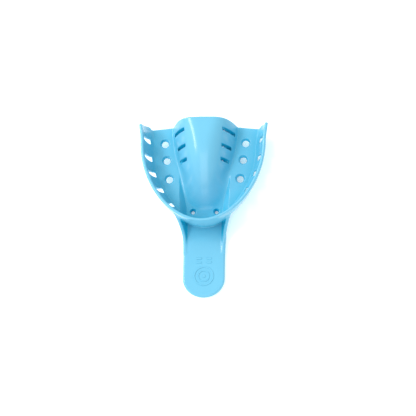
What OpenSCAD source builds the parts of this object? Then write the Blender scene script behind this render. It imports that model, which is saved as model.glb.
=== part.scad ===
// Perforated impression tray for an upper dental arch, small adult size.
// One thin plastic moulding: a palate vault, a flat floor on each side, a lower well behind the
// front teeth, an outer flange round the arch and a flat handle with two side ribs.
// Each region of the moulding is a solid of its own, and neighbours meet face to face.
// +X is the tray's left-right direction, +Y points to the back of the mouth, +Z is up, tissue side up.

/* [Arch] */
// Half of the rim's width at the end of its curved part
rim_half_w = 31.25; // [28:0.1:35]
// Distance from the rim's front to the end of its curved part
rim_length = 41.3; // [36:0.5:48]
// Extra half width that the rim gains in its straight rear stretch
rim_tail_flare = 1; // [0:0.1:2]
// Distance from the front crease of the handle to the rear corners of the floors
arch_depth = 50.5; // [45:0.1:56]
// How far the rear edge of the floors runs further back at the vault than at its corners
rear_bow = 0.7; // [0:0.1:2]
// How far the front of the rim stands forward of the handle crease
rim_overhang = 1.6; // [1:0.1:3]

/* [Heights] */
// Height of the rim above the underside of the handle
rim_z = 20; // [17:0.1:24]
// Height of the tissue side of the flat side floors
floor_z = 6.8; // [5:0.1:8]
// How far the front well lies below the side floors
well_depth = 3.6; // [2:0.1:4]
// Height of the palate vault at the rear edge
vault_z = 22.2; // [18:0.1:26]

/* [Walls] */
// Thickness of floors, vault and handle web
wall_t = 1.8; // [1.4:0.1:2.4]
// Thickness of the flange just under the rim, at the front
rim_t_front = 1.3; // [1:0.1:1.8]
// Thickness of the flange just under the rim, at the sides
rim_t_side = 1.7; // [1.4:0.1:2.2]
// Distance from the rim's outer line in to the flange's foot, at the front
foot_front = 4.3; // [3.8:0.1:5]
// Distance from the rim's outer line in to the flange's foot, at the sides
foot_side = 6.2; // [5.5:0.1:7]
// How far the flange's rear edge stands behind the floor
rear_out = 1; // [0:0.1:1.5]
// Forward lean of the upper part of that edge, for each millimetre of height
rear_lean = 0.2; // [0:0.01:0.5]
// Length and height of the rounded rear corner of the flange
rear_corner = [0.8, 1.5]; // [0.5:0.1:4]

/* [Vault] */
// Half width of the vault's foot at the rear edge
vault_half_w = 16.3; // [14:0.1:18]
// Narrowing of that half width for each millimetre towards the front
vault_taper = 0.09; // [0.05:0.005:0.2]
// Backward lean of the vault's rear edge at its top
vault_lean = 0.7; // [0:0.1:3]
// Softness of the crease where the vault meets the floor, at the nose and at the rear
vault_blend = [6, 2.2]; // [1:0.1:8]

/* [Holes] */
// Diameter of the round holes in the side floors, on the tissue side
side_hole_d = 4.6; // [3:0.1:5]
// Diameter of the two round holes in the front well, on the tissue side
front_hole_d = 2.9; // [2:0.1:4]
// Narrowing of the holes' radius for each millimetre down
hole_taper = 0.45; // [0:0.05:0.5]
// Width of the slots in the flange, measured along the arch
flange_slot_w = 2; // [1.5:0.1:3]
// Width of the slots in the vault, measured from front to back
vault_slot_w = 1.7; // [1.4:0.1:2.5]

/* [Handle] */
// Length of the handle from the crease to its end
handle_l = 35.3; // [30:0.1:42]
// Width of the handle
handle_w = 20.7; // [18:0.1:24]
// Thickness of the handle
handle_t = 2.2; // [1.8:0.1:2.8]
// Depth of the handle's rounded end
handle_end = 9.5; // [6:0.5:12]
// Width of each side rib of the handle
rib_w = 1.7; // [1.2:0.1:2]
// Height of the raised grip marks
mark_h = 0.25; // [0.15:0.05:0.5]

/* [Hidden] */

plastic = [0.48, 0.79, 0.94];
// The arch is drawn from the handle crease; this shift puts the origin under the middle of the tray.
rear_foot_y = arch_depth + rear_bow;
mid_y = (rear_foot_y + vault_lean - handle_l) / 2;

rim_power = 1.92;                // roundness of the rim's curve: 2 is an ellipse, less is more pointed
tail_share = 0.15;               // share of the rim's parameter that runs along the straight rear stretch
crease_t = 0.33;                 // parameter at which the centre strip meets the flange's foot
front_n = 11;                    // stations of the flange from the midline to crease_t
side_n = 20;                     // stations from crease_t to the rear end
profile_n = 9;                   // rows of the flange's curved part
well_n = 10;                     // rows along the front well
vault_n = 20;                    // rows along the vault
foot_power = [2.3, 1.6];         // roundness of the flange at the front and sides: more is squarer
curved_share = [0.8, 0.95];      // share of its height that is curved, at the front and sides
split_y = 26;                    // where the front well ends and the vault begins
well_full_y = 8;                 // the well has its full depth in front of this line
strip_slope = 0.132;             // spread of the centre strip's sides towards the rear
vault_power = 4.2;               // squareness of the vault's cross-section
nose_power = 2.2;                // the same at the vault's front end
nose_length = 8;                 // distance over which the one turns into the other
flank_extra = 1;                 // share by which the vault's steep flanks are thicker than its top
vault_side_drop = vault_z - floor_z;
front_fall = 0.00577;            // how fast the vault's ridge falls towards the front
front_fall_power = 2.2;
rear_lean_z = 9;                 // height at which the lean of the flange's rear edge begins

side_holes = [[20.2, 43.0], [19.1, 34.2], [17.65, 24.4]];
front_holes = [[5.85, 8.3]];
slot_draft = 3;                         // draft of each side of a flange slot, degrees
// Flange slots: parameter along the rim, height above the floor, foot of the flange left inside the slot.
flange_slots = [[0.895, 10.5, 2.1], [0.765, 10.5, 1.7], [0.643, 10.5, 1.4], [0.508, 10.5, 1.1], [0.362, 7.8, 1]];
// Vault slots: distance from the midline, distance from the crease, length.
vault_slots = [[12.2, 46.4, 5.6], [11.1, 38.8, 4.4], [10.3, 32.4, 3.9]];
vault_slot_foot = 1.2;                  // floor left under the vault's slots

// Line of the handle's neck: offset from the handle's side, then distance from the crease.
neck_line = [[0.4, 6], [0.4, 0], [0.4, -6], [0, -13]];
// Top edge of a rib: distance from the crease, then height above the handle.
rib_edge = [[-12.5, 0.05], [-5.9, 1.1], [-0.9, 5], [2.3, 9.3], [3.9, 13.3], [6, 13.3]];
rib_lean = 0.3;                         // how far a rib leans outwards for each millimetre of height
// How deep a rib may run into the flange: from this height up, and the depth inside the rim's line.
rib_reach = [[handle_t, 4], [3.2, 2.6], [6, 1.6], [10, 1.1]];
rib_top_z = 18;

bar_size = [2.8, 1];                    // grip marks: bars, two rings and a centre
bar_x = 2.5;
bar_rows = [-15.6, -17.6];
rings = [[10, 8.6], [6, 4.8]];          // outer and inner diameter of each ring
centre_d = 1.8;
ring_y = -24.6;

function clamp(v, lo = 0, hi = 1) = min(max(v, lo), hi);
function smooth(v) = let (c = clamp(v)) c * c * (3 - 2 * c);
function mix(a, b, s) = a + (b - a) * s;
function soft_max(a, b, k) = let (h = max(k - abs(a - b), 0) / k) max(a, b) + h * h * k / 4;

// ---- plan of the rim ----
centre_y = rim_length - rim_overhang;
tail_l = arch_depth - centre_y;
function rim_pt(t) =
    let (s = (t - 1 + tail_share) / tail_share, a = 90 * t / (1 - tail_share))
    s < 0 ? [rim_half_w * pow(max(sin(a), 0), 2 / rim_power),
             centre_y - rim_length * pow(cos(a), 2 / rim_power)]
          : [rim_half_w + rim_tail_flare * smooth(s), centre_y + tail_l * s];
function rim_in(t) =
    let (d = rim_pt(t + 0.001) - rim_pt(t - 0.001)) [-d[1], d[0]] / norm(d);
function foot_off(t) = mix(foot_front, foot_side, smooth(t / 0.5));
function rim_t(t) = mix(rim_t_front, rim_t_side, smooth(t / 0.5));
function foot_r(t) = foot_off(t) - rim_t(t) - 0.1;
function offset_pt(t, off) = rim_pt(t) + rim_in(t) * off;
function foot_pt(t) = offset_pt(t, foot_off(t));

// ---- tissue-side height of the centre strip ----
function well_at(y) = well_depth * smooth((split_y + 2 - y) / (split_y + 2 - well_full_y));
function step_outer(y) = 12.1 + 0.04 * (y - 6);
function step_inner(y) = step_outer(y) - 0.5 - 2.8 * well_at(y) / well_depth;
function base_z(x, y) =
    floor_z - well_at(y) * smooth((step_outer(y) - abs(x)) / (step_outer(y) - step_inner(y)));
function ridge_z(y) = vault_z - front_fall * pow(max(rear_foot_y - y, 0), front_fall_power);
function vault_w(y) = vault_half_w - vault_taper * (rear_foot_y - y);
function dome_z(x, y) =
    let (p = mix(nose_power, vault_power, exp(-max(rear_foot_y - y, 0) / nose_length)))
    ridge_z(y) - vault_side_drop * pow(abs(x) / vault_w(y), p);
function top_z(x, y) =
    soft_max(base_z(x, y), dome_z(x, y), mix(vault_blend[0], vault_blend[1], smooth((y - 12) / 20)));
function top_pt(x, y) = [x, y, top_z(x, y)];
function surface_normal(x, y) =
    let (d = 0.05,
         sx = (top_z(x + d, y) - top_z(x - d, y)) / (2 * d),
         sy = (top_z(x, y + d) - top_z(x, y - d)) / (2 * d),
         n = [-sx, -sy, 1]) n / norm(n);
function under_pt(x, y) =
    let (n = surface_normal(x, y)) top_pt(x, y) - wall_t * (1 + flank_extra * (1 - n[2])) * n;

// The centre strip runs between two straight lines that spread towards the rear.
strip_corner = foot_pt(crease_t);
function strip_w(y) = strip_corner[0] + strip_slope * (y - strip_corner[1]);
function station(j) = j <= front_n ? crease_t * j / front_n
                                   : mix(crease_t, 1, (j - front_n) / side_n);
function column_share(j) =
    let (p = foot_pt(station(abs(j)))) sign(j) * p[0] / strip_w(p[1]);
function column_front(j) = foot_pt(station(abs(j)))[1];
function rear_y(share) = rear_foot_y + vault_lean * (1 - pow(abs(share), vault_power));

// ---- flange ----
function rear_end(z) =
    let (c = clamp((z - rim_z + rear_corner[1]) / rear_corner[1]))
    arch_depth + rear_out * smooth((z - floor_z) / 1.7) - rear_lean * max(z - rear_lean_z, 0)
    - rear_corner[0] * (1 - sqrt(1 - c * c * 0.999));
function pull_back(t, z) =
    let (end = 1 - tail_share + tail_share * (rear_end(z) - centre_y) / tail_l) t * end;
function flange_pt(t, off, z, side) =
    let (p = offset_pt(pull_back(t, z), off)) [side * p[0], p[1], z];
function foot_z(t) = let (p = foot_pt(t)) top_z(p[0], p[1]);
function by_side(t, pair) = mix(pair[0], pair[1], smooth(t / 0.5));
function curve_h(t) = by_side(t, curved_share) * (rim_z - foot_z(t));
function curve_power(t) = 2 / by_side(t, foot_power);
function inner_row(t, side) = concat(
    [let (p = foot_pt(t)) [side * p[0], p[1], foot_z(t)]],
    [for (i = [1 : profile_n])
        let (f = 90 * i / profile_n, r = foot_r(t))
        flange_pt(t, foot_off(t) - r * pow(sin(f), curve_power(t)),
                  foot_z(t) + curve_h(t) * (1 - pow(max(cos(f), 0), curve_power(t))), side)],
    [flange_pt(t, rim_t(t), rim_z - 0.5, side), flange_pt(t, rim_t(t) - 0.4, rim_z, side)]);
function outer_row(t, side) = concat(
    [let (p = foot_pt(t), u = under_pt(p[0], p[1])) [side * u[0], u[1], u[2]]],
    [for (i = [1 : profile_n])
        let (f = 90 * i / profile_n, r = foot_off(t) - 0.15)
        flange_pt(t, foot_off(t) - r * pow(sin(f), curve_power(t)),
                  foot_z(t) + curve_h(t)
                  - (curve_h(t) + wall_t) * pow(max(cos(f), 0), curve_power(t)), side)],
    [flange_pt(t, 0, rim_z - 0.5, side), flange_pt(t, 0.4, rim_z, side)]);

// ---- solids ----
// A closed sheet between two grids of points with the same rows and columns.
module sheet(front, back) {
    rows = len(front);
    cols = len(front[0]);
    all = rows * cols;
    function at(r, c, s) = s * all + r * cols + c;
    points = concat([for (r = front) for (p = r) p], [for (r = back) for (p = r) p]);
    faces = concat(
        [for (r = [0 : rows - 2], c = [0 : cols - 2])
            each [[at(r, c, 0), at(r + 1, c, 0), at(r + 1, c + 1, 0)],
                  [at(r, c, 0), at(r + 1, c + 1, 0), at(r, c + 1, 0)]]],
        [for (r = [0 : rows - 2], c = [0 : cols - 2])
            each [[at(r, c, 1), at(r + 1, c + 1, 1), at(r + 1, c, 1)],
                  [at(r, c, 1), at(r, c + 1, 1), at(r + 1, c + 1, 1)]]],
        [for (r = [0 : rows - 2])
            each [[at(r, 0, 0), at(r, 0, 1), at(r + 1, 0, 1)],
                  [at(r, 0, 0), at(r + 1, 0, 1), at(r + 1, 0, 0)],
                  [at(r, cols - 1, 0), at(r + 1, cols - 1, 1), at(r, cols - 1, 1)],
                  [at(r, cols - 1, 0), at(r + 1, cols - 1, 0), at(r + 1, cols - 1, 1)]]],
        [for (c = [0 : cols - 2])
            each [[at(0, c, 0), at(0, c + 1, 1), at(0, c, 1)],
                  [at(0, c, 0), at(0, c + 1, 0), at(0, c + 1, 1)],
                  [at(rows - 1, c, 0), at(rows - 1, c, 1), at(rows - 1, c + 1, 1)],
                  [at(rows - 1, c, 0), at(rows - 1, c + 1, 1), at(rows - 1, c + 1, 0)]]]);
    polyhedron(points, faces, convexity = 8);
}

module place() {
    color(plastic) translate([0, -mid_y, 0]) children();
}

module both_sides() {
    children();
    mirror([1, 0, 0]) children();
}

// A round hole that narrows downwards; d is its diameter at the height top.
module hole(at, d, top) {
    deep = wall_t + 0.5;
    over = 1;
    translate([at[0], at[1], top - deep])
        cylinder(r1 = d / 2 - hole_taper * deep, r2 = d / 2 + hole_taper * over, h = deep + over, $fn = 32);
}

// A slot through the foot of the flange: narrow on the tissue side, wider below and outside.
module flange_slot(t, h, left) {
    p = rim_pt(t);
    n = rim_in(t);
    top_w = flange_slot_w / 2;
    low_w = top_w + h * tan(slot_draft);
    reach = foot_off(t) - left;
    out = 2;
    z0 = floor_z - wall_t - 1;
    z1 = floor_z + h;
    translate([p[0], p[1], 0]) rotate([0, 0, atan2(n[1], n[0])])
        polyhedron(
            [[-out, -low_w, z0], [reach, -low_w, z0], [reach, low_w, z0], [-out, low_w, z0],
             [-out, -top_w, z1], [reach, -top_w, z1], [reach, top_w, z1], [-out, top_w, z1]],
            [[0, 1, 2, 3], [7, 6, 5, 4], [4, 5, 1, 0], [5, 6, 2, 1], [6, 7, 3, 2], [7, 4, 0, 3]]);
}

// The part of the centre strip between two lines, given as shares of its length.
module strip(rows, y_of) {
    cols = [for (j = [-front_n : front_n]) j];
    sheet([for (r = rows) [for (j = cols) let (y = y_of(r, j)) top_pt(column_share(j) * strip_w(y), y)]],
          [for (r = rows) [for (j = cols) let (y = y_of(r, j)) under_pt(column_share(j) * strip_w(y), y)]]);
}

module palate_vault() {
    place() difference() {
        strip([for (i = [0 : vault_n]) i / vault_n],
              function (s, j) mix(split_y, rear_y(column_share(j)), s));
        both_sides()
            for (s = vault_slots)
                translate([s[0] - s[2] / 2, s[1] - vault_slot_w / 2, floor_z + vault_slot_foot])
                    cube([s[2], vault_slot_w, vault_z]);
    }
}

module front_strip() {
    strip([for (i = [0 : well_n]) i / well_n],
          function (s, j) mix(column_front(j), split_y, s));
}

module front_well() {
    place() difference() {
        front_strip();
        both_sides()
            for (h = front_holes)
                hole(h, front_hole_d, floor_z - well_depth);
    }
}

module side_floor() {
    rim_side = [for (j = [front_n : front_n + side_n]) foot_pt(station(j))];
    strip_side = [[strip_w(rear_foot_y), rear_foot_y], [strip_w(split_y), split_y]];
    difference() {
        translate([0, 0, floor_z - wall_t])
            linear_extrude(wall_t)
                polygon(concat(rim_side, strip_side));
        for (h = side_holes)
            hole(h, side_hole_d, floor_z);
    }
}

module floor_right() {
    place() side_floor();
}

module floor_left() {
    place() mirror([1, 0, 0]) side_floor();
}

module side_flange() {
    ts = [for (j = [front_n : front_n + side_n]) station(j)];
    difference() {
        sheet([for (t = ts) inner_row(t, 1)], [for (t = ts) outer_row(t, 1)]);
        for (s = flange_slots)
            flange_slot(s[0], s[1], s[2]);
    }
}

module flange_right() {
    place() side_flange();
}

module flange_left() {
    place() mirror([1, 0, 0]) side_flange();
}

module front_flange_sheet() {
    js = [for (j = [-front_n : front_n]) j];
    sheet([for (j = js) inner_row(station(abs(j)), j < 0 ? -1 : 1)],
          [for (j = js) outer_row(station(abs(j)), j < 0 ? -1 : 1)]);
}

module flange_front() {
    place() front_flange_sheet();
}

// Plan of the handle: straight sides and an elliptical end.
module handle_plan() {
    hw = handle_w / 2;
    neck = [for (p = neck_line) [hw + p[0], p[1]]];
    polygon(concat(
        neck,
        [for (a = [0 : 10 : 180])
            [hw * cos(a), -handle_l + handle_end - handle_end * sin(a)]],
        [for (i = [3 : -1 : 0]) [-neck[i][0], neck[i][1]]]));
}

module handle_plate() {
    place() difference() {
        linear_extrude(handle_t) handle_plan();
        front_flange_sheet();
        front_strip();
    }
}

// The space outside the flange: in steps of height, everything outside a line parallel to the rim.
module outside_flange() {
    last = len(rib_reach) - 1;
    for (i = [0 : last]) {
        z0 = rib_reach[i][0];
        z1 = i < last ? rib_reach[i + 1][0] : rib_top_z;
        translate([0, 0, z0])
            linear_extrude(z1 - z0)
                polygon(concat([[0, -20]],
                               [for (k = [0 : 8]) offset_pt(0.05 * k + 0.001, rib_reach[i][1])],
                               [[rim_half_w, -20]]));
    }
}

// A side rib: it leans outwards from the handle's edge and rises to the flange in a hollow curve.
module rib_solid() {
    hw = handle_w / 2;
    h = rib_top_z - handle_t;
    lean = rib_lean * h;
    difference() {
        intersection() {
            translate([0, 20, handle_t]) rotate([90, 0, 0])
                linear_extrude(40)
                    polygon([[hw - rib_w, 0], [hw, 0], [hw + lean, h], [hw + lean - rib_w, h]]);
            translate([0, 0, handle_t]) rotate([90, 0, 90])
                linear_extrude(2 * handle_w)
                    polygon(concat([[rib_edge[0][0], 0]], rib_edge, [[rib_edge[5][0], 0]]));
            outside_flange();
        }
        front_flange_sheet();
    }
}

module handle_rib_right() {
    place() rib_solid();
}

module handle_rib_left() {
    place() mirror([1, 0, 0]) rib_solid();
}

// Plain raised marks for the thumb: short bars, and two rings round a centre.
module grip_marks() {
    place() translate([0, 0, handle_t]) {
        both_sides()
            for (y = bar_rows)
                translate([bar_x - bar_size[0] / 2, y - bar_size[1] / 2, 0])
                    cube([bar_size[0], bar_size[1], mark_h]);
        translate([0, ring_y, 0]) {
            for (d = rings)
                difference() {
                    cylinder(d = d[0], h = mark_h, $fn = 48);
                    translate([0, 0, -1]) cylinder(d = d[1], h = mark_h + 2, $fn = 48);
                }
            cylinder(d = centre_d, h = mark_h, $fn = 32);
        }
    }
}

palate_vault();
front_well();
floor_left();
floor_right();
flange_left();
flange_right();
flange_front();
handle_plate();
handle_rib_left();
handle_rib_right();
grip_marks();
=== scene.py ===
# Impression tray, upper arch: the visual pieces, in the same frame as the CAD (metres).
# The moulding is one smooth implicit solid in millimetres. It is meshed once, then cut into the
# same named regions as the CAD nodes, so that neighbouring regions share exactly one seam.
import math
import bpy
import numpy as np
from mathutils import Matrix, Vector


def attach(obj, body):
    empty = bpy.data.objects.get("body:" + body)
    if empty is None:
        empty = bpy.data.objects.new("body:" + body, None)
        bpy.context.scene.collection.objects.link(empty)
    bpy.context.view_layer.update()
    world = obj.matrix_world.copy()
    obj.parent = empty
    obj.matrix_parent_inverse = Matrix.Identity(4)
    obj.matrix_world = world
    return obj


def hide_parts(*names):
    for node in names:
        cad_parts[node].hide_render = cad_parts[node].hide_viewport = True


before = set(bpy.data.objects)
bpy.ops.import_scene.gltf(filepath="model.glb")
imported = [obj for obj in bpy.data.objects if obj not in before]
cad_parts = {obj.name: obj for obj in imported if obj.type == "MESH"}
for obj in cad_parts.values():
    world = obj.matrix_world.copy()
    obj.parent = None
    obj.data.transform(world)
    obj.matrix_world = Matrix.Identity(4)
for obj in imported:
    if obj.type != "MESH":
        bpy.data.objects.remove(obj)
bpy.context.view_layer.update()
MM = 0.001

# ---- dimensions in millimetres, drawn from the handle's crease like the CAD ----
MID_Y = 8.3  # the frame's origin lies here
# rim: half width, length and overhang of the superellipse, its squareness and its straight tail
RIM_W, RIM_L, RIM_OVER, RIM_POWER, RIM_FLARE, TAIL = 31.25, 41.3, 1.6, 1.92, 1.0, 0.15
CENTRE_Y = RIM_L - RIM_OVER
RIM_Z, RIM_FRONT, RIM_SIDE = 20.0, 1.3, 1.7  # height, and thickness in front and at the side
VAULT_IN, VAULT_OVER = 12, 3  # this far in from the rim, the vault may stand higher than the rim
# floors and flange: the flange's foot, and the curve that leads up from it, in front and at the side
FLOOR_Z, WALL, WELL = 6.8, 1.8, 3.6
FOOT_FRONT, FOOT_SIDE, SIDE_T = 4.3, 6.2, 0.5
POWER_FRONT, POWER_SIDE, CURVED_FRONT, CURVED_SIDE = 2.3, 1.6, 0.8, 0.95
FOOT_GAP, OUTER_GAP = 0.1, 0.15
# rear edge: depth in the middle, bow and lean, then the flange's rear edge and its upper corner
DEPTH, BOW, LEAN, CORNER_X = 50.5, 0.7, 0.7, 26.3
REAR_FOOT = DEPTH + BOW
REAR_OUT, REAR_OUT_H, REAR_LEAN, REAR_LEAN_Z = 1.0, 1.7, 0.2, 9.0
REAR_CORNER_L, REAR_CORNER_H, REAR_CORNER_FILL = 0.8, 1.5, 0.99
FLANGE_X, FLANGE_FADE = 19, 4  # the rear edge starts to follow the flange here, and over this width
# vault: half width, squareness, the fall of its ridge, and the softness of the crease round it
VAULT_W, VAULT_W_MIN, VAULT_TAPER, VAULT_POWER, NOSE_POWER, NOSE_L = 16.3, 4, 0.09, 4.2, 2.2, 8
VAULT_Z, RIDGE_FALL, RIDGE_POWER = 22.2, 0.00577, 2.2
VAULT_BLEND, NOSE_BLEND, BLEND_Y, BLEND_L = 2.2, 6.0, 12, 20
FLANK_T, UNDER_STEP, DOME_LOW = 3.2, 1.15, -20
# step between the side floors and the front well: its line, its width and its straightness
STEP_X, STEP_SPREAD, STEP_Y, STEP_W, STEP_W_WELL, STEP_STRAIGHT = 12.1, 0.04, 6, 0.5, 2.8, 0.85
WELL_END_Y, WELL_FULL_Y = 28.0, 8.0
# handle: plan, neck, and the ribs' line and top edge
HANDLE_L, HANDLE_W, HANDLE_T, HANDLE_END, HANDLE_REAR = 35.3, 20.7, 2.2, 9.5, 6.0
NECK_OUT, NECK_Y, NECK_L, NECK_POWER = 1.2, -13, 14.5, 1.6
RIB_HALF, RIB_LEAN, RIB_START, RIB_Y, RIB_L = 0.85, 0.3, -12.8, -12.5, 16.4
RIB_RISE, RIB_CURVE, RIB_POWER, RIB_RUN = 0.7, 12.6, 2.75, 1.15
RIB_SLOPE = 0.75  # turns the height under the ribs' sloping top edge into a distance
BODY_BACK = 0.8  # the plate and the ribs end this far behind the tissue side of the flange
# holes: radius, taper and the depth that tapers; places as (x, y)
SIDE_HOLE_R, FRONT_HOLE_R, HOLE_TAPER, HOLE_TAPER_H = 2.35, 1.5, 0.45, 2
SIDE_HOLES = ((20.2, 43.0), (19.1, 34.2), (17.65, 24.4))
FRONT_HOLES = ((5.85, 8.3),)
# flange slots: parameter along the rim, height above the floor, foot left inside the slot
FLANGE_SLOT_HALF, FLANGE_SLOT_DRAFT = 1.0, 3.0
FLANGE_SLOTS = ((0.895, 10.5, 2.1), (0.765, 10.5, 1.7), (0.643, 10.5, 1.4),
                (0.508, 10.5, 1.1), (0.362, 7.8, 1.0))
# vault slots: middle as (x, y), and length
VAULT_SLOT_HALF, VAULT_SLOT_R, VAULT_SLOT_FOOT = 0.85, 0.35, 1.2
VAULT_SLOT_TAPER, VAULT_SLOT_TAPER_H = 0.06, 5
VAULT_SLOTS = ((12.2, 46.4, 5.6), (11.1, 38.8, 4.4), (10.3, 32.4, 3.9))
# rounding of the edges and fillets
EDGE, SLOT_EDGE, FINE_EDGE, PLATE_EDGE, RIB_EDGE, RIB_FILLET = 0.9, 0.5, 0.3, 1.0, 0.8, 0.7
# seams between the regions
SPLIT_Y, CREASE_T, STRIP_SLOPE = 26.0, 0.33, 0.132
REGION_LOW, REGION_HIGH, REGION_OUT, REGION_FAR = -5, 30, -3.0, 56.0
RIB_BOX_IN, RIB_BOX_X, RIB_BOX_Y0, RIB_BOX_Y1 = 1.9, 20, -14, 8
# meshing: cell sizes, the corners of the meshed space, and the space that the arch is cut from
VOXEL, CUT_VOXEL, CUT_MARGIN = 0.3, 0.6, 0.3
SPACE_LOW, SPACE_HIGH = (-33.6, -HANDLE_L - 1.0, -1.0), (33.6, 53.4, 23.4)
BOWL_LOW, BOWL_HIGH = (-36.0, -6.0, -3.0), (36.0, 57.0, 27.0)
BOWL_TOP, BOWL_X, BOWL_Y = 25, 34.5, 55
# farthest move onto the surface, the distance that counts as on it, and how squarely a face looks out
MOVE_MAX, SKIN, SKIN_FACING = 0.12, 0.12, 0.3
GRAD_MIN, GRAD2_MIN = 0.03, 0.2  # guards against dividing by a vanishing gradient
NEVER = 99.0  # a distance that no cut reaches


# ---- small helpers ----
def smooth(v):
    c = np.clip(v, 0, 1)
    return c * c * (3 - 2 * c)


def mix(a, b, s):
    return a + (b - a) * s


def smax(a, b, k):
    h = np.maximum(k - np.abs(a - b), 0) / k
    return np.maximum(a, b) + h * h * k / 4


def smin(a, b, k):
    return -smax(-a, -b, k)


# ---- plan of the rim ----
def rim_pt(t):
    """Outer line of the rim; t is 0 at the middle of the front and 1 at the rear."""
    s = (t - 1 + TAIL) / TAIL
    a = np.radians(90 * np.clip(t / (1 - TAIL), 0, 1))
    x = RIM_W * np.sin(a) ** (2 / RIM_POWER)
    y = CENTRE_Y - RIM_L * np.cos(a) ** (2 / RIM_POWER)
    x = np.where(s < 0, x, RIM_W + RIM_FLARE * smooth(s))
    y = np.where(s < 0, y, CENTRE_Y + (DEPTH - CENTRE_Y) * s)
    return x, y


def rim_normal(t):
    """Unit normal of the rim's outer line, pointing inward."""
    x0, y0 = rim_pt(t - 0.001)
    x1, y1 = rim_pt(t + 0.001)
    n = np.hypot(x1 - x0, y1 - y0)
    return -(y1 - y0) / n, (x1 - x0) / n


def offset_pt(t, off):
    x, y = rim_pt(t)
    nx, ny = rim_normal(t)
    return x + nx * off, y + ny * off


def foot_off(t):
    return mix(FOOT_FRONT, FOOT_SIDE, smooth(t / SIDE_T))


def rim_t(t):
    return mix(RIM_FRONT, RIM_SIDE, smooth(t / SIDE_T))


def foot_r(t):
    return foot_off(t) - rim_t(t) - FOOT_GAP


# the rim's outer line as points, for the search of the nearest one
CURVE_T = np.linspace(0.002, 1.4, 700)
CURVE = np.stack(rim_pt(CURVE_T), -1)
CURVE_D = np.gradient(CURVE, axis=0)
CURVE_D /= np.linalg.norm(CURVE_D, axis=1)[:, None]
CHUNK, STRIDE = 20000, 4


def rim_offset(x, y):
    """Inward distance from the rim's outer line, and the line's parameter there."""
    shape = x.shape
    px, py = np.abs(x).ravel(), y.ravel()
    best = np.empty(px.size)
    par = np.empty(px.size)
    a, d = CURVE[:-1], np.diff(CURVE, axis=0)
    dd = (d * d).sum(1)
    for i in range(0, px.size, CHUNK):
        vx = px[i:i + CHUNK, None] - CURVE[None, ::STRIDE, 0]
        vy = py[i:i + CHUNK, None] - CURVE[None, ::STRIDE, 1]
        near = np.argmin(vx * vx + vy * vy, axis=1) * STRIDE
        qx, qy = px[i:i + CHUNK], py[i:i + CHUNK]
        bd = np.full(qx.size, 1e9)
        bt = np.zeros(qx.size)
        bs = np.zeros(qx.size)
        for k in range(-STRIDE, STRIDE):
            j = np.clip(near + k, 0, len(d) - 1)
            u = np.clip(((qx - a[j, 0]) * d[j, 0] + (qy - a[j, 1]) * d[j, 1]) / dd[j], 0, 1)
            ex, ey = qx - a[j, 0] - u * d[j, 0], qy - a[j, 1] - u * d[j, 1]
            e = ex * ex + ey * ey
            # smooth tangent: the side is read from the blended direction of the line
            tx = mix(CURVE_D[j, 0], CURVE_D[j + 1, 0], u)
            ty = mix(CURVE_D[j, 1], CURVE_D[j + 1, 1], u)
            side = -ty * ex + tx * ey
            better = e < bd
            bd = np.where(better, e, bd)
            bt = np.where(better, mix(CURVE_T[j], CURVE_T[j + 1], u), bt)
            bs = np.where(better, side, bs)
        best[i:i + CHUNK] = np.sqrt(bd) * np.sign(bs)
        par[i:i + CHUNK] = bt
    return best.reshape(shape), par.reshape(shape)


# ---- heights of the tissue side and of the underside ----
def well_at(y):
    """How far the front well lies under the side floors."""
    return WELL * smooth((WELL_END_Y - y) / (WELL_END_Y - WELL_FULL_Y))


def base_z(x, y, inset=0.0):
    """Side floors, and the step down to the front well."""
    outer = STEP_X + STEP_SPREAD * (y - STEP_Y) - inset
    inner = outer - STEP_W - STEP_W_WELL * well_at(y) / WELL
    fall = (outer - np.abs(x)) / (outer - inner)
    return FLOOR_Z - well_at(y) * mix(smooth(fall), np.clip(fall, 0, 1), STEP_STRAIGHT)


def ridge_z(y):
    return VAULT_Z - RIDGE_FALL * np.maximum(REAR_FOOT - y, 0) ** RIDGE_POWER


def vault_w(y):
    return np.maximum(VAULT_W - VAULT_TAPER * (REAR_FOOT - y), VAULT_W_MIN)


def vault_power(y):
    return mix(NOSE_POWER, VAULT_POWER, np.exp(-np.maximum(REAR_FOOT - y, 0) / NOSE_L))


def blend(y):
    return mix(NOSE_BLEND, VAULT_BLEND, smooth((y - BLEND_Y) / BLEND_L))


def top_z(x, y):
    dome = ridge_z(y) - (VAULT_Z - FLOOR_Z) * (np.abs(x) / vault_w(y)) ** vault_power(y)
    return smax(base_z(x, y), np.maximum(dome, DOME_LOW), blend(y))


def under_z(x, y):
    flank = np.abs(x) / (vault_w(y) - FLANK_T)
    dome = ridge_z(y) - WALL - (VAULT_Z - FLOOR_Z) * flank ** vault_power(y)
    return smax(base_z(x, y, -UNDER_STEP) - WALL, np.maximum(dome, DOME_LOW), blend(y))


def slope(f, x, y, d=0.05):
    """How much longer a height of f is than the distance to its surface."""
    sx = (f(x + d, y) - f(x - d, y)) / (2 * d)
    sy = (f(x, y + d) - f(x, y - d)) / (2 * d)
    return np.sqrt(1 + sx * sx + sy * sy)


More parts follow.
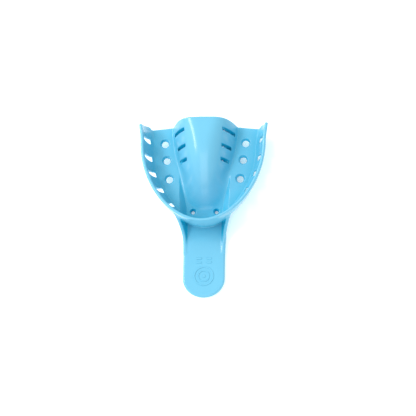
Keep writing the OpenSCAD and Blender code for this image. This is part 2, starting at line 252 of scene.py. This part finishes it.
# ---- the moulding as an implicit solid: negative inside ----
def plan(x, y):
    """Everything that depends only on the place in plan."""
    p = {"x": x, "y": y, "ax": np.abs(x)}
    p["off"], t = rim_offset(x, y)
    t = np.minimum(t, 1.0)
    p["r"], p["foot"] = foot_r(t), foot_off(t)
    p["top"], p["under"] = top_z(x, y), under_z(x, y)
    p["top_n"], p["under_n"] = slope(top_z, x, y), slope(under_z, x, y)
    fx, fy = offset_pt(t, p["foot"])
    side = smooth(t / SIDE_T)
    p["power"] = mix(POWER_FRONT, POWER_SIDE, side)
    p["curve_h"] = mix(CURVED_FRONT, CURVED_SIDE, side) * (RIM_Z - top_z(fx, fy))
    strip = strip_w(y)
    share = np.clip(p["ax"] / strip, 0, 1)
    corner = np.clip((p["ax"] - strip) / (CORNER_X - strip), 0, 1)
    p["rear"] = REAR_FOOT + LEAN * (1 - share ** VAULT_POWER) - BOW * corner
    p["flange_share"] = smooth((p["ax"] - FLANGE_X) / FLANGE_FADE)
    holes = np.full(x.shape, NEVER)
    for spots, r in ((SIDE_HOLES, SIDE_HOLE_R), (FRONT_HOLES, FRONT_HOLE_R)):
        for hx, hy in spots:
            holes = np.minimum(holes, np.hypot(p["ax"] - hx, y - hy) - r)
    p["holes"] = holes
    vslot = np.full(x.shape, NEVER)
    for cx, cy, length in VAULT_SLOTS:
        qx = np.abs(p["ax"] - cx) - length / 2 + VAULT_SLOT_R
        qy = np.abs(y - cy) - VAULT_SLOT_HALF + VAULT_SLOT_R
        d = np.hypot(np.maximum(qx, 0), np.maximum(qy, 0)) + np.minimum(np.maximum(qx, qy), 0)
        vslot = np.minimum(vslot, d - VAULT_SLOT_R)
    p["vslot"] = vslot
    p["fslots"] = []
    for ts, h, left in FLANGE_SLOTS:
        ts = np.array(ts)
        rx, ry = rim_pt(ts)
        nx, ny = rim_normal(ts)
        u = (p["ax"] - rx) * nx + (y - ry) * ny
        w = np.abs(-(p["ax"] - rx) * ny + (y - ry) * nx)
        p["fslots"].append((u - (foot_off(ts) - left), w, h))
    # handle plan: straight sides that spread towards the arch, and an elliptical end
    hw = HANDLE_W / 2
    side = hw + NECK_OUT * np.clip((y - NECK_Y) / NECK_L, 0, 0.5) ** NECK_POWER
    ey = np.minimum(y + HANDLE_L - HANDLE_END, 0)
    rad = np.hypot(x / side, ey / HANDLE_END)
    grad = np.hypot(x / side ** 2, ey / HANDLE_END ** 2) / np.maximum(rad, 1e-6)
    p["handle"] = np.maximum((rad - 1) / np.maximum(grad, 1e-3), y - HANDLE_REAR)
    # ribs: top edge and ends
    s = np.clip((y - RIB_Y) / RIB_L, 0, RIB_RUN)
    p["rib_top"] = HANDLE_T + RIB_RISE * s + RIB_CURVE * s ** RIB_POWER
    p["rib_end"] = np.maximum(RIB_START - y, y - HANDLE_REAR)
    return p


STRIP_CORNER = [float(v) for v in offset_pt(np.array(CREASE_T), foot_off(np.array(CREASE_T)))]


def strip_w(y):
    """Half width of the strip that holds the vault, between the side floors."""
    return STRIP_CORNER[0] + STRIP_SLOPE * (y - STRIP_CORNER[1])


def sheet_side(p, z, height, norm, reach, rise):
    """Distance above a floor that turns up into the flange."""
    q = np.maximum((p["foot"] - p["off"]) / reach, 0)
    h = np.maximum(1 - (z - height) / rise, 0)
    power = p["power"]
    n = np.maximum((q ** power + h ** power) ** (1 / power), 1e-4)
    gq = (q / n) ** (power - 1) / reach
    gh = (h / n) ** (power - 1) / rise * norm
    return (1 - n) / np.maximum(np.hypot(gq, gh), GRAD_MIN)


def tissue_side(p, z):
    return sheet_side(p, z, p["top"], p["top_n"], p["r"], p["curve_h"])


def outer_side(p, z):
    return sheet_side(p, z, p["under"], p["under_n"], p["foot"] - OUTER_GAP, p["curve_h"] + WALL)


def solid(p, z):
    """Distance to the moulding's surface, near enough close to it; negative inside."""
    inner = tissue_side(p, z)
    outer = outer_side(p, z)
    shell = np.maximum(inner, -outer)
    shell = smax(shell, z - RIM_Z - VAULT_OVER * (p["off"] > VAULT_IN), EDGE)
    # rear edges
    c = np.clip((z - RIM_Z + REAR_CORNER_H) / REAR_CORNER_H, 0, 1)
    back = REAR_CORNER_L * (1 - np.sqrt(1 - c * c * REAR_CORNER_FILL))
    back = back + REAR_LEAN * np.maximum(z - REAR_LEAN_Z, 0)
    back = back - REAR_OUT * smooth((z - FLOOR_Z) / REAR_OUT_H)
    shell = smax(shell, p["y"] - p["rear"] + back * p["flange_share"], EDGE)
    # holes, slightly wider on the tissue side
    deep = np.clip(p["top"] - z, 0, HOLE_TAPER_H)
    shell = smax(shell, -(p["holes"] + HOLE_TAPER * deep), FINE_EDGE)
    for u, w, hz in p["fslots"]:
        half = FLANGE_SLOT_HALF + np.tan(np.radians(FLANGE_SLOT_DRAFT)) * (FLOOR_Z + hz - z)
        d = smax(smax(w - half, u, SLOT_EDGE), z - FLOOR_Z - hz, SLOT_EDGE)
        shell = smax(shell, -d, FINE_EDGE)
    vslot = p["vslot"] + VAULT_SLOT_TAPER * np.clip(p["top"] - z, 0, VAULT_SLOT_TAPER_H)
    shell = smax(shell, -smax(vslot, FLOOR_Z + VAULT_SLOT_FOOT - z, FINE_EDGE), FINE_EDGE)
    # handle plate and ribs
    plate = smax(p["handle"], np.abs(z - HANDLE_T / 2) - HANDLE_T / 2, PLATE_EDGE)
    middle = HANDLE_W / 2 - RIB_HALF + RIB_LEAN * (z - HANDLE_T)
    side = (np.abs(p["ax"] - middle) - RIB_HALF) / math.hypot(1, RIB_LEAN)
    rib = smax(smax(side, (z - p["rib_top"]) * RIB_SLOPE, RIB_EDGE), p["rib_end"], SLOT_EDGE)
    rib = np.maximum(rib, HANDLE_T / 2 - z)
    body = smin(plate, rib, RIB_FILLET)
    body = smax(body, inner + BODY_BACK, FINE_EDGE)
    return smin(shell, body, EDGE)


def surface_nets(values, low, step):
    """Closed quad mesh of the zero level of a grid of values, negative inside."""
    inside = values < 0
    c = [inside[i:inside.shape[0] - 1 + i, j:inside.shape[1] - 1 + j, k:inside.shape[2] - 1 + k]
         for i in (0, 1) for j in (0, 1) for k in (0, 1)]
    total = sum(v.astype(np.int8) for v in c)
    active = (total > 0) & (total < 8)
    idx = np.argwhere(active)
    ids = np.full(active.shape, -1, np.int64)
    ids[active] = np.arange(len(idx))
    acc = np.zeros((len(idx), 3))
    cnt = np.zeros(len(idx))
    i, j, k = idx.T
    corner = {(a, b, d): values[i + a, j + b, k + d] for a in (0, 1) for b in (0, 1) for d in (0, 1)}
    for axis in range(3):
        for a in (0, 1):
            for b in (0, 1):
                p0 = [a, b]
                p0.insert(axis, 0)
                p1 = list(p0)
                p1[axis] = 1
                v0, v1 = corner[tuple(p0)], corner[tuple(p1)]
                cut = (v0 < 0) != (v1 < 0)
                f = np.where(cut, v0 / np.where(cut, v0 - v1, 1), 0)
                pt = np.tile(np.array(p0, float), (len(idx), 1))
                pt[:, axis] = f
                acc += pt * cut[:, None]
                cnt += cut
    verts = (idx + acc / cnt[:, None]) * step + low
    quads = []
    for axis in range(3):
        lo = [slice(None)] * 3
        hi = [slice(None)] * 3
        lo[axis], hi[axis] = slice(0, -1), slice(1, None)
        a, b = inside[tuple(lo)], inside[tuple(hi)]
        e = np.argwhere(a != b)
        o1, o2 = [(1, 2), (2, 0), (0, 1)][axis]
        ok = (e[:, o1] > 0) & (e[:, o2] > 0)
        ok &= (e[:, o1] < active.shape[o1]) & (e[:, o2] < active.shape[o2])
        e = e[ok]
        ring = []
        for s1, s2 in ((1, 1), (0, 1), (0, 0), (1, 0)):
            q = e.copy()
            q[:, o1] -= s1
            q[:, o2] -= s2
            ring.append(ids[q[:, 0], q[:, 1], q[:, 2]])
        ring = np.stack(ring, -1)
        flip = b[e[:, 0], e[:, 1], e[:, 2]]
        ring[flip] = ring[flip][:, ::-1]
        quads.append(ring)
    return verts, np.concatenate(quads)


def solid_gradient(pts, h=0.02):
    """Gradient and value of the solid at some points."""
    g = np.empty_like(pts)
    z = pts[:, 2]
    for axis in range(2):
        d = np.zeros(2)
        d[axis] = h
        a = solid(plan(pts[:, 0] + d[0], pts[:, 1] + d[1]), z)
        b = solid(plan(pts[:, 0] - d[0], pts[:, 1] - d[1]), z)
        g[:, axis] = (a - b) / (2 * h)
    p = plan(pts[:, 0], pts[:, 1])
    g[:, 2] = (solid(p, z + h) - solid(p, z - h)) / (2 * h)
    return g, solid(p, z)


def moulding():
    """Mesh of the whole moulding, its corners moved onto the solid's surface."""
    low, high = np.array(SPACE_LOW), np.array(SPACE_HIGH)
    n = [int(v) for v in np.ceil((high - low) / VOXEL)]
    xs, ys, zs = (low[a] + VOXEL * np.arange(n[a] + 1) for a in range(3))
    gx, gy = np.meshgrid(xs, ys, indexing="ij")
    p = plan(gx, gy)
    p3 = {}
    for key, v in p.items():
        p3[key] = [(u[..., None], w[..., None], h) for u, w, h in v] if key == "fslots" else v[..., None]
    values = solid(p3, zs[None, None, :])
    verts, quads = surface_nets(values, low, VOXEL)
    for _ in range(2):
        g, v = solid_gradient(verts)
        gg = np.maximum((g * g).sum(1), GRAD2_MIN)
        move = -(v / gg)[:, None] * g
        length = np.linalg.norm(move, axis=1)
        move *= np.minimum(1, MOVE_MAX / np.maximum(length, 1e-9))[:, None]
        verts = verts + move
    return verts, quads


# ---- Blender meshes ----
def mesh_object(name, verts, faces):
    me = bpy.data.meshes.new(name)
    me.from_pydata([tuple(v) for v in verts], [], [tuple(f) for f in faces])
    me.validate()
    ob = bpy.data.objects.new(name, me)
    bpy.context.scene.collection.objects.link(ob)
    return ob


def prism(name, polygon, z0, z1):
    """Upright block on a plan outline."""
    n = len(polygon)
    verts = [(x, y, z0) for x, y in polygon] + [(x, y, z1) for x, y in polygon]
    faces = [tuple(range(n - 1, -1, -1)), tuple(range(n, 2 * n))]
    faces += [(i, (i + 1) % n, n + (i + 1) % n, n + i) for i in range(n)]
    return mesh_object(name, verts, faces)


def boolean(target, cutter, operation):
    """Cuts the target's mesh for good."""
    mod = target.modifiers.new("cut", "BOOLEAN")
    mod.object = cutter
    mod.operation = operation
    mod.solver = "MANIFOLD"
    graph = bpy.context.evaluated_depsgraph_get()
    me = bpy.data.meshes.new_from_object(target.evaluated_get(graph))
    target.modifiers.clear()
    old = target.data
    target.data = me
    bpy.data.meshes.remove(old)


def copy_of(ob, name):
    new = bpy.data.objects.new(name, ob.data.copy())
    bpy.context.scene.collection.objects.link(new)
    return new


def drop(*obs):
    for ob in obs:
        me = ob.data
        bpy.data.objects.remove(ob)
        bpy.data.meshes.remove(me)


def outer_bowl():
    """Everything above the underside and inside the outer face of the arch."""
    low, high = np.array(BOWL_LOW), np.array(BOWL_HIGH)
    n = [int(v) for v in np.ceil((high - low) / CUT_VOXEL)]
    xs, ys, zs = (low[a] + CUT_VOXEL * np.arange(n[a] + 1) for a in range(3))
    gx, gy = np.meshgrid(xs, ys, indexing="ij")
    p = plan(gx, gy)
    p3 = {k: v[..., None] for k, v in p.items() if k != "fslots"}
    values = -(outer_side(p3, zs[None, None, :]) + CUT_MARGIN)
    values = np.maximum(values, zs[None, None, :] - BOWL_TOP)
    values = np.maximum(values, np.abs(gx[..., None]) - BOWL_X)
    values = np.maximum(values, gy[..., None] - BOWL_Y)
    verts, quads = surface_nets(values, low, CUT_VOXEL)
    return mesh_object("bowl", verts, quads)


def regions():
    """Plan outlines that split the arch into the CAD's nodes."""
    side_t, front_t = np.linspace(CREASE_T, 1, 60), np.linspace(0, CREASE_T, 24)
    foot = np.stack(offset_pt(side_t, foot_off(side_t)), -1).tolist()
    rim_out = np.stack(offset_pt(side_t, np.full(60, REGION_OUT)), -1).tolist()
    front = np.stack(offset_pt(front_t, foot_off(front_t)), -1).tolist()
    front_out = np.stack(offset_pt(front_t, np.full(24, REGION_OUT)), -1).tolist()
    front[0][0] = front_out[0][0] = 0.0
    front_full = [[-x, y] for x, y in front[:0:-1]] + front
    w_split, w_far, foot_x = strip_w(SPLIT_Y), strip_w(REGION_FAR), foot[-1][0]
    well = front_full + [[w_split, SPLIT_Y], [-w_split, SPLIT_Y]]
    vault = [[-w_split, SPLIT_Y], [w_split, SPLIT_Y], [w_far, REGION_FAR], [-w_far, REGION_FAR]]
    floor = foot + [[foot_x, REGION_FAR], [w_far, REGION_FAR], [w_split, SPLIT_Y]]
    side = rim_out + [[rim_out[-1][0], REGION_FAR], [foot_x, REGION_FAR]] + foot[::-1]
    ring = [[-x, y] for x, y in front_out[:0:-1]] + front_out + front_full[::-1]
    return {"front_well": well, "palate_vault": vault, "floor_right": floor, "flange_right": side,
            "flange_front": ring, "floor_left": [[-x, y] for x, y in floor[::-1]],
            "flange_left": [[-x, y] for x, y in side[::-1]]}


def finish_piece(ob, node, material):
    """Normals from the solid's own gradient, flat on the hidden seam faces; metres; row frame."""
    me = ob.data
    n = len(me.vertices)
    co = np.empty(n * 3)
    me.vertices.foreach_get("co", co)
    co = co.reshape(-1, 3)
    g, value = solid_gradient(co)
    g /= np.maximum(np.linalg.norm(g, axis=1), 1e-9)[:, None]
    nf, nl = len(me.polygons), len(me.loops)
    start, total = np.empty(nf, int), np.empty(nf, int)
    fn, loop_v = np.empty(nf * 3), np.empty(nl, int)
    me.polygons.foreach_get("loop_start", start)
    me.polygons.foreach_get("loop_total", total)
    me.polygons.foreach_get("normal", fn)
    me.loops.foreach_get("vertex_index", loop_v)
    fn = fn.reshape(-1, 3)
    face_of = np.repeat(np.arange(nf), total)
    # a face is skin if its corners lie on the solid's surface and it faces the way they do
    on_skin = np.abs(value) < SKIN
    skin = np.minimum.reduceat(on_skin[loop_v].astype(int), start) > 0
    mean_g = np.add.reduceat(g[loop_v], start) / total[:, None]
    skin &= (mean_g * fn).sum(1) > SKIN_FACING
    normals = np.where(skin[face_of][:, None], g[loop_v], fn[face_of])
    co[:, 1] -= MID_Y
    me.vertices.foreach_set("co", (co * MM).ravel())
    me.polygons.foreach_set("use_smooth", np.ones(nf, bool))
    me.materials.clear()
    me.materials.append(material)
    me.update()
    me.normals_split_custom_set(normals.tolist())
    ob.name = node + "_visual"
    me.name = ob.name
    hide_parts(node)
    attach(ob, "root")


# ---- material ----
MIX_FACTOR, MIX_A, MIX_B, MIX_COLOUR = 0, 6, 7, 2  # the colour mix node's sockets


def plastic(name, unshaded_share):
    """Light blue plastic with painted shade in its recesses; the second argument is the share of the
    plain colour left in the most occluded recesses.
    """
    mat = bpy.data.materials.new(name)
    mat.use_nodes = True
    nt = mat.node_tree
    nodes, links = nt.nodes, nt.links
    bsdf = nodes["Principled BSDF"]
    coord = nodes.new("ShaderNodeTexCoord")
    noise = nodes.new("ShaderNodeTexNoise")
    noise.inputs["Scale"].default_value = 60
    noise.inputs["Detail"].default_value = 3
    links.new(coord.outputs["Object"], noise.inputs["Vector"])
    ramp = nodes.new("ShaderNodeValToRGB")
    ramp.color_ramp.elements[0].position = 0.3
    ramp.color_ramp.elements[0].color = (0.138, 0.425, 0.600, 1)
    ramp.color_ramp.elements[1].position = 0.7
    ramp.color_ramp.elements[1].color = (0.148, 0.440, 0.620, 1)
    links.new(noise.outputs["Fac"], ramp.inputs["Fac"])
    rough = nodes.new("ShaderNodeMapRange")
    rough.inputs["To Min"].default_value = 0.17
    rough.inputs["To Max"].default_value = 0.23
    fine = nodes.new("ShaderNodeTexNoise")
    fine.inputs["Scale"].default_value = 900
    fine.inputs["Detail"].default_value = 2
    links.new(coord.outputs["Object"], fine.inputs["Vector"])
    links.new(noise.outputs["Fac"], rough.inputs["Value"])
    links.new(rough.outputs["Result"], bsdf.inputs["Roughness"])
    bump = nodes.new("ShaderNodeBump")
    bump.inputs["Strength"].default_value = 0.04
    bump.inputs["Distance"].default_value = 0.0002
    links.new(fine.outputs["Fac"], bump.inputs["Height"])
    links.new(bump.outputs["Normal"], bsdf.inputs["Normal"])
    # painted shade: the colour turns a deeper teal in the plastic's recesses, where ambient occlusion
    # finds them
    painted_shade_occlusion = nodes.new("ShaderNodeAmbientOcclusion")
    painted_shade_occlusion.samples = 8
    painted_shade_occlusion.inputs["Distance"].default_value = 0.012
    depth = nodes.new("ShaderNodeMapRange")
    depth.inputs["From Min"].default_value = 0.5
    depth.inputs["From Max"].default_value = 0.95
    depth.inputs["To Min"].default_value = unshaded_share
    painted_shade_mix = nodes.new("ShaderNodeMix")
    painted_shade_mix.data_type = "RGBA"
    # the deep teal of the painted shade
    painted_shade_mix.inputs[MIX_A].default_value = (0.004, 0.400, 0.610, 1)
    links.new(painted_shade_occlusion.outputs["AO"], depth.inputs["Value"])
    links.new(depth.outputs["Result"], painted_shade_mix.inputs[MIX_FACTOR])
    links.new(ramp.outputs["Color"], painted_shade_mix.inputs[MIX_B])
    links.new(painted_shade_mix.outputs[MIX_COLOUR], bsdf.inputs["Base Color"])
    bsdf.inputs["IOR"].default_value = 1.59
    bsdf.inputs["Specular IOR Level"].default_value = 0.4
    return mat


# ---- the moulding, cut into its pieces ----
# two copies of the plastic that differ only in painted shade: full in the arch's and ribs' recesses,
# weaker on the handle plate and the grip marks
material = plastic("tray_plastic", 0.0)
weak_shade_plastic = plastic("tray_plastic_weak_painted_shade", 0.7)
whole = mesh_object("whole", *moulding())
bowl = outer_bowl()
arch = copy_of(whole, "arch")
boolean(arch, bowl, "INTERSECT")
handle = whole
boolean(handle, bowl, "DIFFERENCE")
for node, polygon in regions().items():
    piece = copy_of(arch, node)
    cutter = prism("cutter", polygon, REGION_LOW, REGION_HIGH)
    boolean(piece, cutter, "INTERSECT")
    drop(cutter)
    finish_piece(piece, node, material)
rib_in = HANDLE_W / 2 - RIB_BOX_IN
for node, x0, x1 in (("handle_rib_left", -RIB_BOX_X, -rib_in), ("handle_rib_right", rib_in, RIB_BOX_X)):
    piece = copy_of(handle, node)
    box = [[x0, RIB_BOX_Y0], [x1, RIB_BOX_Y0], [x1, RIB_BOX_Y1], [x0, RIB_BOX_Y1]]
    cutter = prism("cutter", box, HANDLE_T, REGION_HIGH)
    boolean(piece, cutter, "INTERSECT")
    boolean(handle, cutter, "DIFFERENCE")
    drop(cutter)
    finish_piece(piece, node, material)
finish_piece(handle, "handle_plate", weak_shade_plastic)
drop(bowl, arch)


# ---- grip marks on the handle ----
MARK_SIDE_H, MARK_H, MARK_BEVEL = 0.15, 0.25, 0.1
BAR_X, BAR_YS, BAR_L, BAR_W = 2.5, (-15.6, -17.6), 2.8, 1.0
RINGS_Y, RINGS, DOT_L, DOT_W = -24.6, ((4.3, 5.0), (2.4, 3.0)), 1.8, 1.79
RING_STEPS, BAR_STEPS = 96, 8


def raised(verts, faces, outline, inset):
    """A low raised shape: upright sides, a bevelled edge and a flat top."""
    n, first = len(outline), len(verts)
    for ring, z in ((outline, 0), (outline, MARK_SIDE_H), (inset, MARK_H)):
        verts += [(x * MM, (y - MID_Y) * MM, (HANDLE_T + z) * MM) for x, y in ring]
    for k in (first, first + n):
        faces += [(k + i, k + (i + 1) % n, k + n + (i + 1) % n, k + n + i) for i in range(n)]
    faces += [tuple(first + i for i in range(n - 1, -1, -1)), tuple(first + 2 * n + i for i in range(n))]


def raised_ring(verts, faces, cy, r0, r1):
    """A low raised ring with bevelled edges."""
    n, first = RING_STEPS, len(verts)
    profile = ((r0, 0), (r0, MARK_SIDE_H), (r0 + MARK_BEVEL, MARK_H),
               (r1 - MARK_BEVEL, MARK_H), (r1, MARK_SIDE_H), (r1, 0))
    m = len(profile)
    for i in range(n):
        a = 2 * math.pi * i / n
        verts += [(r * math.cos(a) * MM, (cy + r * math.sin(a) - MID_Y) * MM, (HANDLE_T + z) * MM)
                  for r, z in profile]
    for i in range(n):
        here, there = first + m * i, first + m * ((i + 1) % n)
        for k in range(m):
            faces.append((here + k, here + (k + 1) % m, there + (k + 1) % m, there + k))


def rounded_bar(cx, cy, length, width):
    """Outline of a bar with round ends."""
    r, pts = width / 2, []
    for side, start in ((1, -90), (-1, 90)):
        for k in range(BAR_STEPS + 1):
            a = math.radians(start + 180 * k / BAR_STEPS)
            pts.append((cx + side * (length / 2 - r) + r * math.cos(a), cy + r * math.sin(a)))
    return pts


def raised_bar(verts, faces, cx, cy, length, width):
    inset = rounded_bar(cx, cy, length - 2 * MARK_BEVEL, width - 2 * MARK_BEVEL)
    raised(verts, faces, rounded_bar(cx, cy, length, width), inset)


def grip_marks(material):
    """Four small bars, and two rings round a dot."""
    verts, faces = [], []
    for cx in (-BAR_X, BAR_X):
        for cy in BAR_YS:
            raised_bar(verts, faces, cx, cy, BAR_L, BAR_W)
    for r0, r1 in RINGS:
        raised_ring(verts, faces, RINGS_Y, r0, r1)
    raised_bar(verts, faces, 0, RINGS_Y, DOT_L, DOT_W)
    ob = mesh_object("grip_marks_visual", verts, faces)
    ob.data.materials.append(material)
    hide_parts("grip_marks")
    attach(ob, "root")


grip_marks(weak_shade_plastic)


# ---- camera, floor and light ----
CAM_SIDE, CAM_TILT, CAM_ROLL, CAM_FAR = 5.07, 18.0, 0.56, 1200  # degrees, and the distance
CAM_AIM, CAM_RIGHT, CAM_UP = (0, 20 - MID_Y, 8), 1.74, -10.77
VIEW_W, SENSOR = 206.2469, 36  # the picture's width at the tray, and on the sensor


def camera():
    """A long lens from the front and above, a little to the right."""
    side, tilt, roll = math.radians(CAM_SIDE), math.radians(CAM_TILT), math.radians(CAM_ROLL)
    look = Vector((math.sin(side), -math.cos(side) * math.sin(tilt), math.cos(side) * math.cos(tilt)))
    right = Vector((math.cos(side), math.sin(side) * math.sin(tilt), -math.sin(side) * math.cos(tilt)))
    up = look.cross(right)
    aim = Vector(CAM_AIM) + CAM_RIGHT * right + CAM_UP * up
    data = bpy.data.cameras.new("camera")
    data.sensor_width = SENSOR
    data.lens = SENSOR * CAM_FAR / VIEW_W
    data.clip_end = 10
    cam = bpy.data.objects.new("camera", data)
    bpy.context.scene.collection.objects.link(cam)
    rot = Matrix((right, up, look)).transposed() @ Matrix.Rotation(-roll, 3, "Z")
    cam.matrix_world = Matrix.Translation((aim + look * CAM_FAR) * MM) @ rot.to_4x4()
    bpy.context.scene.camera = cam


# name, place, size, power and colour of each light (metres, watts)
LIGHTS = (("left", (-0.55, 0.05, 0.75), (0.6, 0.16), 3.6, (1.0, 0.90, 0.89)),
          ("rear", (-0.45, 0.45, 0.65), (0.4, 0.4), 1.5, (1, 1, 1)),
          ("front", (0.0, -0.6, 0.75), (0.6, 0.6), 1.9, (1, 1, 1)),
          ("strip", (-0.83, 0.31, 0.45), (0.24, 0.14), 2.0, (1, 1, 1)))
LIGHT_AIM = Vector((0, 0, 0.01))
SKY, SKY_STRENGTH = (0.80, 0.98, 1.0, 1), 1.0


def studio():
    """Plain pale floor, four soft lights and a pale surround."""
    bpy.ops.mesh.primitive_plane_add(size=6)
    floor = bpy.context.object
    floor.name = "floor"
    mat = bpy.data.materials.new("floor")
    mat.use_nodes = True
    nt = mat.node_tree
    bsdf = nt.nodes["Principled BSDF"]
    noise = nt.nodes.new("ShaderNodeTexNoise")
    noise.inputs["Scale"].default_value = 3
    ramp = nt.nodes.new("ShaderNodeValToRGB")
    ramp.color_ramp.elements[0].color = (0.93, 0.93, 0.93, 1)
    ramp.color_ramp.elements[1].color = (0.95, 0.95, 0.95, 1)
    nt.links.new(noise.outputs["Fac"], ramp.inputs["Fac"])
    nt.links.new(ramp.outputs["Color"], bsdf.inputs["Base Color"])
    bsdf.inputs["Roughness"].default_value = 0.9
    # a weak glow keeps the floor white through the holes
    bsdf.inputs["Emission Color"].default_value = (1, 1, 1, 1)
    bsdf.inputs["Emission Strength"].default_value = 0.25
    floor.data.materials.append(mat)

    for name, place, size, power, colour in LIGHTS:
        data = bpy.data.lights.new(name, "AREA")
        data.shape = "RECTANGLE"
        data.size, data.size_y = size
        data.energy = power
        data.color = colour
        ob = bpy.data.objects.new(name, data)
        bpy.context.scene.collection.objects.link(ob)
        ob.location = place
        ob.rotation_euler = (LIGHT_AIM - Vector(place)).to_track_quat("-Z", "Y").to_euler()
    world = bpy.data.worlds.new("studio")
    bpy.context.scene.world = world
    world.use_nodes = True
    background = world.node_tree.nodes["Background"]
    background.inputs["Color"].default_value = SKY
    background.inputs["Strength"].default_value = SKY_STRENGTH
    bpy.context.scene.view_settings.view_transform = "Standard"


camera()
studio()
